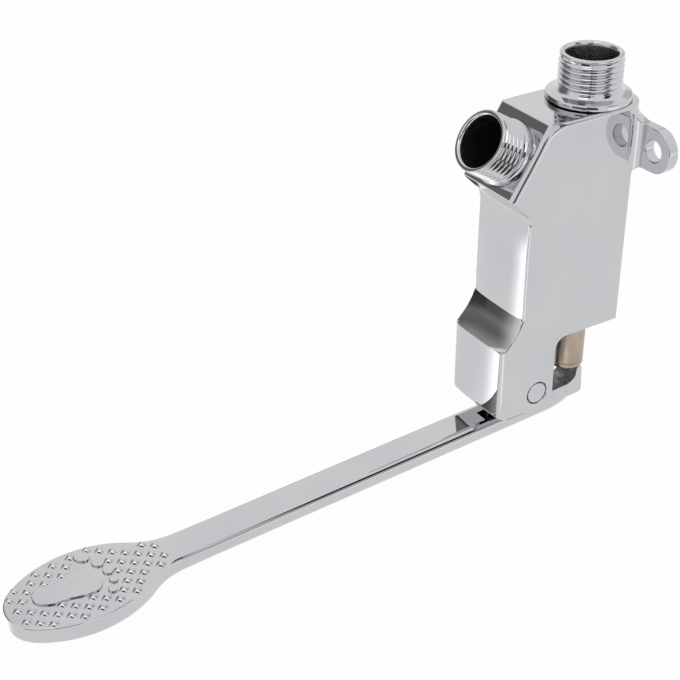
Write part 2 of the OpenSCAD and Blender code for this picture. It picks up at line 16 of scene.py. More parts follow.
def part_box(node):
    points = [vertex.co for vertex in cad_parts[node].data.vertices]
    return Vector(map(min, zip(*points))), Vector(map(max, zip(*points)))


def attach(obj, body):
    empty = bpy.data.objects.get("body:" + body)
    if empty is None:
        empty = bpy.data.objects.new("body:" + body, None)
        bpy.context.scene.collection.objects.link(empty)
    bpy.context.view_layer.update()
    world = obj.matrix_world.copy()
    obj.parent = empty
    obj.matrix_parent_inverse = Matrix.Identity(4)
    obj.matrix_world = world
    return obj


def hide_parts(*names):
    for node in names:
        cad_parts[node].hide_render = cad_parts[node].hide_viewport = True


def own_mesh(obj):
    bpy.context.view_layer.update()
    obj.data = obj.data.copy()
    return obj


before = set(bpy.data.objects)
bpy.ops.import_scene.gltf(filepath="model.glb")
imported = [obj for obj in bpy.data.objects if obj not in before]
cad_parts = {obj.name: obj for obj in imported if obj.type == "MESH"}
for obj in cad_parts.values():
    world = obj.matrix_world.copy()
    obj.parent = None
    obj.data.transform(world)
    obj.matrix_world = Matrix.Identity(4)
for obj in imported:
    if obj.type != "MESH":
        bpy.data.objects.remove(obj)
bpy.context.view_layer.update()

LOG = logging.getLogger("foot_valve")
MM = 0.001
# Points that lie closer than this are one, in millimetres: on the casting's copy, and on drawn outlines
WELD_MM = 1e-3
FINE_WELD_MM = 1e-4
# In millimetres: Y of the upright axis of inlet, plunger and spring, Y and Z of the pedal's pin, and the
# middle of the outlet's facet
AXIS_Y = -14.0
PIVOT = (-37.3, -83.4)
OUTLET_AT = (0.0, -46.566, 1.812)
# A square's half diagonal over its side
HALF_DIAGONAL = 0.707
# Where a finish's two shades stand on the noise, and how many bands a wave texture has per unit
SHADE_STOPS = (0.35, 0.65)
WAVE_BANDS = 20
# Two or three values that belong together, and the steps of a turned shape
Pair = tuple[float, float]
Point = tuple[float, float, float]
Steps = tuple[Pair, ...]


class Body(Enum):
    """The rigid bodies that pieces ride on."""

    VALVE = "valve"
    PEDAL = "pedal"
    PLUNGER = "plunger"


class Slot(Enum):
    """The record's material slots."""

    CHROME = "chrome_plate"
    BRONZE = "nickel_bronze"
    BRASS = "turned_brass"
    STEEL = "stainless_steel"
    RUBBER = "rubber"
    ACETAL = "acetal"


def linear(hex_code: str) -> tuple[float, float, float, float]:
    """Turns an sRGB hex colour into linear light.

    Args:
        hex_code: Six hex digits after a hash.

    Returns:
        Red, green and blue in linear light, and an alpha of 1.
    """
    parts = [int(hex_code[i:i + 2], 16) / 255 for i in (1, 3, 5)]
    light = [c / 12.92 if c <= 0.04045 else ((c + 0.055) / 1.055) ** 2.4 for c in parts]
    return light[0], light[1], light[2], 1.0


def add(tree: bpy.types.NodeTree, kind: str, settings: dict | None = None,
        links: dict | None = None) -> bpy.types.Node:
    """Adds a node with its settings and its incoming links.

    Args:
        tree: The tree that gets the node.
        kind: The node's type, without the ShaderNode prefix.
        settings: Attributes by name, and input values by socket name or number.
        links: Output sockets by the name or number of the input that they feed.

    Returns:
        The new node.
    """
    node = tree.nodes.new("ShaderNode" + kind)
    for key, value in (settings or {}).items():
        if isinstance(key, str) and hasattr(node, key):
            setattr(node, key, value)
        else:
            node.inputs[key].default_value = value
    for key, socket in (links or {}).items():
        tree.links.new(socket, node.inputs[key])
    return node


def new_tree(name: str) -> tuple[bpy.types.Material, bpy.types.NodeTree]:
    """Makes an empty node material.

    Args:
        name: The material's name.

    Returns:
        The material and its node tree.
    """
    material = bpy.data.materials.new(name)
    material.use_nodes = True
    material.node_tree.nodes.clear()
    return material, material.node_tree


@dataclass(frozen=True)
class Finish:
    """A surface finish: two shades that drift into each other, gloss that varies, and relief.

    The drift, the gloss and the relief each have their own size in millimetres.
    """

    name: str
    shade: str
    second_shade: str
    metallic: float
    roughness: Pair
    drift_mm: float
    relief_mm: float
    relief_depth_mm: float
    lathe_mm: float = 0.0
    lathe_depth_mm: float = 0.0

    def material(self) -> bpy.types.Material:
        """Builds the finish once as a node material.

        Returns:
            The material, the same one at every call.
        """
        if self.name in bpy.data.materials:
            return bpy.data.materials[self.name]
        material, tree = new_tree(self.name)
        place = add(tree, "TexCoord").outputs["Object"]
        drift = add(tree, "TexNoise", {"Scale": 1 / MM / self.drift_mm, "Detail": 3.0}, {"Vector": place})
        colour = add(tree, "ValToRGB", {}, {"Fac": drift.outputs["Fac"]})
        ramp = colour.color_ramp.elements
        ramp[0].position, ramp[1].position = SHADE_STOPS
        ramp[0].color, ramp[1].color = linear(self.shade), linear(self.second_shade)
        gloss = add(tree, "MapRange", {"To Min": self.roughness[0], "To Max": self.roughness[1]},
                    {"Value": drift.outputs["Fac"]})
        relief = add(tree, "TexNoise", {"Scale": 1 / MM / self.relief_mm, "Detail": 2.0}, {"Vector": place})
        bump = add(tree, "Bump", {"Distance": self.relief_depth_mm * MM}, {"Height": relief.outputs["Fac"]})
        if self.lathe_mm:
            # Turning marks are rings round the upright axis, a fixed distance apart
            scale = 1 / MM / self.lathe_mm / WAVE_BANDS
            rings = add(tree, "TexWave", {"bands_direction": "Z", "Scale": scale, "Distortion": 0.6,
                                          "Detail": 2.0}, {"Vector": place})
            bump = add(tree, "Bump", {"Distance": self.lathe_depth_mm * MM},
                       {"Height": rings.outputs["Fac"], "Normal": bump.outputs["Normal"]})
        shader = add(tree, "BsdfPrincipled", {"Metallic": self.metallic},
                     {"Base Color": colour.outputs["Color"], "Roughness": gloss.outputs["Result"],
                      "Normal": bump.outputs["Normal"]})
        add(tree, "OutputMaterial", {}, {"Surface": shader.outputs["BSDF"]})
        return material


# Decorative chromium over polished nickel: a cool mirror with a faint waviness from hand polishing
CHROME = Finish("Chrome plate on cast brass", "#C6C7C9", "#C2C3C6", 1.0, (0.02, 0.06), 22, 16, 0.02)
# Unplated inside of the casting, darkened by water: nearly black with a sandy grain
WATERWAY = Finish("Cast waterway, oxidised", "#131415", "#1E1F20", 0.4, (0.45, 0.7), 2.5, 0.9, 0.12)
# Plate over a rough casting, where no polishing wheel reaches: dull and grainy, its darker grey a painted
# shade for the pedal's hollow
ROUGH_CAST_AND_SHADE = Finish("Rough casting with painted shade", "#9A9C9F", "#77797C", 1.0, (0.42, 0.6), 1.6, 0.7, 0.08)
# Inside of the inlet, plated but not polished: a dull mirror that darkens with depth
INLET_WALL = Finish("Thin plate inside the inlet", "#A8AAAC", "#B4B6B8", 1.0, (0.2, 0.32), 3, 1.2, 0.02)
# Turned nickel bronze: pale and warm, with the tool's fine rings
BRONZE = Finish("Turned nickel bronze", "#B4A594", "#A89A8B", 1.0, (0.2, 0.32), 6, 1.5, 0.01, 0.5, 0.008)
# Turned brass: yellow, with the tool's rings
BRASS = Finish("Turned brass", "#C9A35C", "#B8924E", 1.0, (0.22, 0.36), 5, 1.5, 0.01, 0.5, 0.01)
# Turned stainless steel: neutral grey, with the tool's rings
STEEL = Finish("Turned stainless steel", "#B6B7B9", "#A6A8AA", 1.0, (0.22, 0.34), 5, 1.5, 0.01, 0.4, 0.008)
# Moulded nitrile rubber: black and matte with a fine grain
RUBBER = Finish("Moulded nitrile rubber", "#1B1B1C", "#232324", 0.0, (0.55, 0.7), 3, 0.6, 0.03)
# Moulded acetal: a waxy natural white
ACETAL = Finish("Moulded acetal", "#E3E0D8", "#DAD7CE", 0.0, (0.35, 0.45), 4, 1.0, 0.01)

# The finish of each CAD node that is shown as it is
PLAIN_NODES: dict[str, Finish] = {
    "inlet_gasket": RUBBER, "outlet_o_ring": RUBBER, "gland_o_ring": RUBBER, "stem_o_rings": RUBBER,
    "disc_seal": RUBBER, "valve_seat": BRASS, "gland_bush": BRASS, "valve_disc": BRASS, "seal_nut": BRASS,
    "pivot_bush": BRASS, "valve_stem": STEEL, "seal_washer": STEEL, "pin_clip": STEEL, "side_washers": ACETAL,
}


def to_row(at_mm: Point = (0, 0, 0), degrees: float = 0.0, about: str = "X") -> Matrix:
    """Works out the way from a piece's own millimetres to the row frame.

    Args:
        at_mm: Where the piece's origin lies.
        degrees: The piece's turn.
        about: The axis of that turn.

    Returns:
        The matrix.
    """
    return Matrix.Scale(MM, 4) @ Matrix.Translation(at_mm) @ Matrix.Rotation(math.radians(degrees), 4, about)


def piece(name: str, bm: BMesh, place: Matrix, finishes: Iterable[Finish], body: Body,
          replaces: Iterable[str] = (), smooth_deg: float = 40.0) -> bpy.types.Object:
    """Turns a bmesh into a finished piece that rides on a body.

    Args:
        name: The piece's name.
        bm: The mesh in its own millimetres. It is freed.
        place: The way from there to the row frame.
        finishes: Its finishes, in the order of the faces' material numbers.
        body: The body that it rides on.
        replaces: The CAD nodes that it stands for.
        smooth_deg: Edges that turn more than this stay sharp.

    Returns:
        The new object.
    """
    bmesh.ops.transform(bm, matrix=place, verts=bm.verts)
    mesh = bpy.data.meshes.new(name)
    for face in bm.faces:
        face.smooth = True
    bm.to_mesh(mesh)
    bm.free()
    mesh.set_sharp_from_angle(angle=math.radians(smooth_deg))
    for finish in finishes:
        mesh.materials.append(finish.material())
    obj = bpy.data.objects.new(name, mesh)
    bpy.context.scene.collection.objects.link(obj)
    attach(obj, body.value)
    if replaces:
        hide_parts(*replaces)
    LOG.info("%s: %d faces on %s", name, len(mesh.polygons), body.value)
    return obj


def soften(obj: bpy.types.Object, width_mm: float, segments: int, limit_deg: float = 0.0) -> None:
    """Rounds a piece's edges and keeps its flat faces flat in the light.

    Args:
        obj: The piece.
        width_mm: The bevel's width.
        segments: The bevel's steps.
        limit_deg: The least angle of an edge that gets it. At 0 each edge's own bevel weight counts.
    """
    bevel = obj.modifiers.new("Edge rounding", "BEVEL")
    bevel.width = width_mm * MM
    bevel.segments = segments
    bevel.profile = 0.5
    bevel.material = -1
    bevel.limit_method = "ANGLE" if limit_deg else "WEIGHT"
    bevel.angle_limit = math.radians(limit_deg)
    bevel.use_clamp_overlap = limit_deg > 0
    bevel.miter_outer = "MITER_ARC"
    normals = obj.modifiers.new("Flat faces", "WEIGHTED_NORMAL")
    normals.mode = "FACE_AREA_WITH_ANGLE"
    normals.weight = 80
    normals.keep_sharp = True


@dataclass
class Arcs:
    """A line that is drawn in the XY plane of a bmesh as a chain of arcs and straight runs."""

    bm: BMesh
    tip: BMVert

    def arc(self, centre: Pair, degrees: float, steps: int) -> None:
        """Carries the line on round a centre.

        Args:
            centre: The arc's centre.
            degrees: The angle to go, anticlockwise if positive.
            steps: The number of straight pieces.
        """
        out = bmesh.ops.spin(self.bm, geom=[self.tip], cent=(*centre, 0), axis=(0, 0, 1),
                             angle=math.radians(degrees), steps=steps, use_duplicate=False)
        self.tip = next(g for g in out["geom_last"] if isinstance(g, BMVert))

    def run(self, to: Pair, steps: int = 1) -> None:
        """Carries the line on straight to a point in equal steps.

        Args:
            to: The point.
            steps: The number of steps.
        """
        step = (Vector((*to, 0)) - self.tip.co) / steps
        for _ in range(steps):
            out = bmesh.ops.extrude_vert_indiv(self.bm, verts=[self.tip])
            self.tip = out["verts"][0]
            bmesh.ops.translate(self.bm, verts=[self.tip], vec=step)


def turned(profile: list[Pair], steps: int = 96) -> BMesh:
    """Spins a profile round Z.

    Args:
        profile: Radius and height of each point, in millimetres.
        steps: The number of facets round.

    Returns:
        A mesh in millimetres with its axis on Z.
    """
    bm = bmesh.new()
    verts = [bm.verts.new((r, 0, z)) for r, z in profile]
    edges = [bm.edges.new(pair) for pair in zip(verts, verts[1:])]
    bmesh.ops.spin(bm, geom=verts + edges, cent=(0, 0, 0), axis=(0, 0, 1), angle=math.tau, steps=steps,
                   use_merge=True, use_duplicate=False)
    bmesh.ops.remove_doubles(bm, verts=bm.verts, dist=FINE_WELD_MM)
    bmesh.ops.recalc_face_normals(bm, faces=bm.faces)
    return bm


def smooth_share(value: float, start: float, end: float) -> float:
    """Tells how far a value has gone from a start to an end.

    Args:
        value: The value.
        start: Where the share is 0.
        end: Where the share is 1.

    Returns:
        The share from 0 to 1, with soft ends.
    """
    share = min(1.0, max(0.0, (value - start) / (end - start)))
    return share * share * (3 - 2 * share)


def raise_faces(bm: BMesh, faces: list[BMFace], height: float, keep: bool = True) -> list[BMFace]:
    """Extrudes faces straight up.

    Args:
        bm: Their mesh.
        faces: The faces.
        height: How far they rise.
        keep: Keeps the first faces too, as the bottom.

    Returns:
        The raised faces.
    """
    grown = bmesh.ops.extrude_face_region(bm, geom=faces, use_keep_orig=keep)["geom"]
    bmesh.ops.translate(bm, vec=(0, 0, height), verts=[g for g in grown if isinstance(g, BMVert)])
    return [g for g in grown if isinstance(g, BMFace)]


def round_off(bm: BMesh, edges: Iterable[BMEdge], width: float, segments: int) -> None:
    """Rounds some edges of a mesh.

    Args:
        bm: The mesh.
        edges: The edges.
        width: The rounding's width, in the mesh's own unit.
        segments: The rounding's steps.
    """
    bmesh.ops.bevel(bm, geom=list(edges), offset=width, offset_type="OFFSET", affect="EDGES",
                    segments=segments, profile=0.5, material=-1)


@dataclass
class Column:
    """The chromed casting: its CAD shape, polished until its edges are soft and its front is crowned.

    Edges over sharp_deg get a rounding. The front is cut at strips_x on both sides of the middle, where the
    crown fades in, and where the chin rolls under. The rim's turn lies beyond turn_low, before turn_back_y.
    """

    edge_mm: float = 0.4
    ear_edge_mm: float = 0.3
    sharp_deg: float = 50.0
    flat_deg: float = 0.1
    low_z: float = -89.9
    half_w: float = 13.35
    ear_from: float = 13.6
    inner_r: float = 13.0
    slot_half: float = 6.5
    slot_front: float = -48.0
    slot_below: float = -70.0
    waist_back: float = -42.5
    outlet_axis: Point = (0.0, -0.848, 0.53)
    outlet_r: float = 12.0
    front_y: float = -44.2
    crown_mm: float = 0.8
    crown_from: float = 2.0
    crown_fade: Pair = (-18.0, -32.0)
    fade_strips: int = 12
    strips_x: tuple[float, ...] = (4.0, 6.0, 7.5, 9.0, 10.0, 11.0, 11.8, 12.6)
    strips_above: float = 4.0
    chin_r: float = 2.4
    chin_strips: int = 6
    chin_behind: float = 0.1
    turn_low: Point = (12.6, -38.7, 12.1)
    turn_back_y: float = -37.4
    turn_mm: float = 4.0
    turn_steps: int = 8

    def width(self, a: Vector, b: Vector) -> float:
        """The rounding of a sharp edge, none inside the bores and the slot.

        Args:
            a: One end of the edge, in millimetres.
            b: Its other end.

        Returns:
            The rounding in millimetres.
        """
        middle = (a + b) / 2
        off = middle - Vector(OUTLET_AT)
        axis = Vector(self.outlet_axis)
        in_outlet = (off - axis * off.dot(axis)).length < self.outlet_r
        in_bore = math.hypot(middle.x, middle.y - AXIS_Y) < self.inner_r
        low_middle = abs(middle.x) < self.slot_half and middle.z < self.slot_below
        if in_outlet or in_bore or (low_middle and middle.y > self.slot_front):
            return 0.0
        return self.ear_edge_mm if abs(middle.x) > self.ear_from else self.edge_mm

    def clean(self, bm: BMesh) -> None:
        """Joins the copy's flat triangles into whole faces, parted behind the waist and at the chin.

        Args:
            bm: The casting's copy, in millimetres.
        """
        bmesh.ops.remove_doubles(bm, verts=bm.verts, dist=WELD_MM)
        cuts = (self.slot_front, self.waist_back)
        for y in cuts:
            whole = [*bm.verts, *bm.edges, *bm.faces]
            bmesh.ops.bisect_plane(bm, geom=whole, plane_co=(0, y, 0), plane_no=(0, 1, 0), dist=WELD_MM)
        loose = {v for v in bm.verts if min(abs(v.co.y - y) for y in cuts) > 10 * WELD_MM}
        bmesh.ops.dissolve_limit(bm, angle_limit=math.radians(self.flat_deg), verts=list(loose),
                                 edges=[e for e in bm.edges if not loose.isdisjoint(e.verts)])

    def strip_front(self, bm: BMesh) -> None:
        """Cuts the front below the facet into strips that can take a curve.

        Args:
            bm: The casting's copy, in millimetres.
        """
        across = [side * x for x in self.strips_x for side in (-1, 1)]
        start, end = self.crown_fade
        down = [start + (end - start) * i / self.fade_strips for i in range(self.fade_strips + 1)]
        rolled = [math.sin(math.radians(90 * i / self.chin_strips)) for i in range(self.chin_strips)]
        down += [self.low_z + self.chin_r * (1 - share) for share in rolled]
        for axis, places in ((0, across), (2, down)):
            for at in places:
                point, normal = Vector(), Vector()
                point[axis], normal[axis] = at, 1.0
                faces = [f for f in bm.faces if f.calc_center_median().y < self.front_y
                         and f.calc_center_median().z < start + self.strips_above]
                geom = {g for f in faces for g in (f, *f.edges, *f.verts)}
                bmesh.ops.bisect_plane(bm, geom=list(geom), plane_co=point, plane_no=normal, dist=WELD_MM)

    def curve_front(self, bm: BMesh) -> None:
        """Crowns the waist and the chin, and rolls the chin's lower edge under.

        Args:
            bm: The casting's copy, in millimetres, with its front in strips.
        """
        round_from = self.low_z + self.chin_r
        for vert in bm.verts:
            at = vert.co
            if at.y > self.front_y or at.z > self.crown_fade[0]:
                continue
            beside = max(0.0, (abs(at.x) - self.crown_from) / (self.half_w - self.crown_from))
            push = self.crown_mm * (1 - beside ** 3) * smooth_share(at.z, *self.crown_fade)
            drop = min(self.chin_r, max(0.0, round_from - at.z))
            roll = self.chin_r - math.sqrt(self.chin_r ** 2 - drop ** 2)
            at.y += (roll if at.y < self.slot_front - self.chin_behind else 0.0) - push

    def rub_corners(self, bm: BMesh) -> None:
        """Rounds the rim of each side where it turns from the top to the facet, as a polishing wheel does.

        Args:
            bm: The casting's copy, in millimetres.
        """
        x, y, z = self.turn_low
        turn = {v for v in bm.verts if abs(v.co.x) > x and y < v.co.y < self.turn_back_y and v.co.z > z}
        round_off(bm, [e for e in bm.edges if turn.issuperset(e.verts)], self.turn_mm, self.turn_steps)

    def build(self) -> None:
        """Copies the casting, cleans the copy, and shapes its front, corners and edges."""
        bm = bmesh.new()
        bm.from_mesh(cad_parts["valve_body"].data)
        bmesh.ops.scale(bm, vec=(1 / MM,) * 3, verts=bm.verts)
        self.clean(bm)
        self.strip_front(bm)
        self.curve_front(bm)
        self.rub_corners(bm)
        layer = bm.edges.layers.float.new("bevel_weight_edge")
        for edge in bm.edges:
            if len(edge.link_faces) == 2 and edge.calc_face_angle_signed() > math.radians(self.sharp_deg):
                edge[layer] = self.width(*(v.co for v in edge.verts)) / self.edge_mm
        obj = piece("column", bm, to_row(), [CHROME], Body.VALVE, ["valve_body"])
        soften(obj, self.edge_mm, segments=3)


@dataclass
class Nipple:
    """A turned nipple with a cut pipe thread. Heights run along its axis from the face it stands on.

    The steps of bore, mouth and wall are each a distance outwards and a depth below the rim.
    """

    name: str
    node: str
    origin_mm: Point
    tilt_deg: float
    foot: list[Pair]
    thread_from: float
    rim: float
    inside: Finish
    bore_r: float = 8.2
    bore_low: float = -8.0
    mouth_r: float = 8.65
    crest_r: float = 10.4
    root_r: float = 9.55
    pitch: float = 1.814
    steps: int = 96
    bore_steps: Steps = ((0.0, 1.6), (0.12, 0.8))
    mouth_steps: Steps = ((0.0, 0.25), (0.3, 0.05), (0.7, 0.0))
    wall_steps: Steps = ((0.4, 0.1), (0.68, 0.32), (0.76, 0.62), (0.6, 0.92), (0.0, 1.4))
    wall_below_root: float = 0.08
    inside_within: float = 0.25
    ridge_points: int = 8
    ridge_into_rim: float = 0.5
    run_out: float = 0.7
    run_out_sink: float = 0.1

    def shell(self) -> BMesh:
        """Turns the nipple's wall with its crowned rim and its bore, the inside as a second material.

        Returns:
            The wall's mesh in the nipple's own millimetres.
        """
        wall = self.root_r - self.wall_below_root
        stages = ((self.bore_r, self.bore_steps), (self.mouth_r, self.mouth_steps), (wall, self.wall_steps))
        rim = [(start + out, self.rim - down) for start, steps in stages for out, down in steps]
        end = (self.bore_r, self.bore_low)
        low = [(wall, 0.0), (wall, self.bore_low), end]
        bm = turned([end, *rim, (wall, self.thread_from), *self.foot, *low], self.steps)
        for face in bm.faces:
            middle = face.calc_center_median()
            face.material_index = int(math.hypot(middle.x, middle.y) < self.bore_r + self.inside_within)
        return bm

    def thread(self, bm: BMesh) -> None:
        """Winds the thread's rounded ridges round the wall, from inside the foot to inside the rim.

        Args:
            bm: The nipple's mesh, which gets the ridges.
        """
        points = self.ridge_points
        low, high = self.thread_from - self.pitch, self.rim - self.ridge_into_rim
        depth = self.crest_r - self.root_r
        lift = [0.5 - 0.5 * math.cos(math.tau * i / points) for i in range(points + 1)]
        verts = [bm.verts.new((self.root_r + depth * up, 0, low + self.pitch * i / points))
                 for i, up in enumerate(lift)]
        edges = [bm.edges.new(pair) for pair in zip(verts, verts[1:])]
        old = set(bm.verts) - set(verts)
        steps = round(((high - low) / self.pitch - 1) * self.steps)
        bmesh.ops.spin(bm, geom=verts + edges, cent=(0, 0, 0), axis=(0, 0, 1), steps=steps,
                       angle=math.tau * steps / self.steps, dvec=(0, 0, self.pitch / self.steps),
                       use_duplicate=False)
        for vert in set(bm.verts) - old:
            r = math.hypot(vert.co.x, vert.co.y)
            share = min(1.0, max(0.0, (self.rim - self.run_out - vert.co.z) / self.run_out))
            sunk = self.root_r - self.run_out_sink
            vert.co.xy *= (sunk + (r - sunk) * share) / r

    def build(self) -> None:
        """Makes the nipple and puts it in its place."""
        bm = self.shell()
        self.thread(bm)
        bmesh.ops.remove_doubles(bm, verts=bm.verts, dist=WELD_MM)
        bmesh.ops.recalc_face_normals(bm, faces=bm.faces)
        place = to_row(self.origin_mm, self.tilt_deg)
        piece(self.name, bm, place, [CHROME, self.inside], Body.VALVE, [self.node],
              smooth_deg=50)


@dataclass
class PushRod:
    """The plunger that shows behind the cheeks.

    The steps of its bevelled end and its fine groove are each a distance inwards and a height above the end.
    """

    radius: float = 6.0
    end_steps: Steps = ((1.1, 0.0), (0.75, 0.12), (0.12, 0.75), (0.0, 1.1))
    groove_steps: Steps = ((0.0, 2.1), (0.22, 2.25), (0.22, 2.4), (0.0, 2.55))
    top_bevel: float = 0.3
    hole_r: float = 2.6

    def build(self) -> None:
        """Turns the plunger to the heights of its CAD node."""
        low, high = (corner.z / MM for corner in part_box("plunger"))
        r = self.radius
        side = [(r - inwards, low + up) for inwards, up in self.end_steps + self.groove_steps]
        top = [(r, high - self.top_bevel), (r - self.top_bevel, high), (self.hole_r, high)]
        bm = turned([(0, low), *side, *top])
        piece("push_rod", bm, to_row((0, AXIS_Y, 0)), [BRONZE], Body.PLUNGER, ["plunger"],
              smooth_deg=50)


@dataclass
class ReturnSpring:
    """The coil spring between the stem guide and the plunger, which shortens as the plunger rises."""

    middle_r: float = 4.3
    wire_r: float = 0.6
    turns: int = 6
    turn_steps: int = 36
    wire_sides: int = 12
    fixed_z: float = -42.45
    travel: float = 3.7

    def build(self) -> None:
        """Winds one unbroken wire to the heights of the CAD spring."""
        low, high = (corner.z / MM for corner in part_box("return_spring"))
        steps = self.turns * self.turn_steps
        rise = high - low - 2 * self.wire_r
        bm = bmesh.new()
        bmesh.ops.create_circle(bm, segments=self.wire_sides, radius=self.wire_r)
        stand = Matrix.Rotation(math.radians(90), 4, "X")
        start = Matrix.Translation((self.middle_r, 0, low + self.wire_r))
        bmesh.ops.transform(bm, matrix=start @ stand, verts=bm.verts)
        bmesh.ops.spin(bm, geom=list(bm.verts) + list(bm.edges), cent=(0, 0, 0), axis=(0, 0, 1), steps=steps,
                       angle=math.tau * self.turns, dvec=(0, 0, rise / steps), use_duplicate=False)
        bmesh.ops.holes_fill(bm, edges=[e for e in bm.edges if e.is_boundary])
        bmesh.ops.recalc_face_normals(bm, faces=bm.faces)
        obj = piece("coil_spring", bm, to_row((0, AXIS_Y, 0)), [STEEL], Body.VALVE,
                    ["return_spring"], smooth_deg=60)
        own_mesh(obj)


@dataclass
class PivotPin:
    """The pin across the cheeks: a sunk polished head on one side and a clip groove on the other.

    The steps of the head's rim are each a distance inwards and a depth below the head's face.
    """

    shank_r: float = 3.0
    end_bevel: float = 0.3
    head_r: float = 3.75
    head_t: float = 2.4
    head_steps: Steps = ((0.0, 0.4), (0.15, 0.12), (0.5, 0.0))
    groove_r: float = 2.2
    groove: Pair = (1.05, 1.9)
    steps: int = 64

    def build(self) -> None:
        """Turns the pin to the length of its CAD node and lays it across the cheeks."""
        low, high = (corner.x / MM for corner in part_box("pivot_pin"))
        neck = high - self.head_t
        start, end = low + self.groove[0], low + self.groove[1]
        shank = [(0, low), (self.shank_r - self.end_bevel, low), (self.shank_r, low + self.end_bevel)]
        groove = [(self.shank_r, start), (self.groove_r, start), (self.groove_r, end), (self.shank_r, end)]
        head = [(self.head_r - inwards, high - down) for inwards, down in self.head_steps]
        under = [(self.shank_r, neck), (self.head_r, neck)]
        bm = turned([*shank, *groove, *under, *head, (0, high)], self.steps)
        piece("pin_with_sunk_head", bm, to_row((0, *PIVOT), 90, "Y"), [CHROME], Body.VALVE,
              ["pivot_pin"], smooth_deg=30)


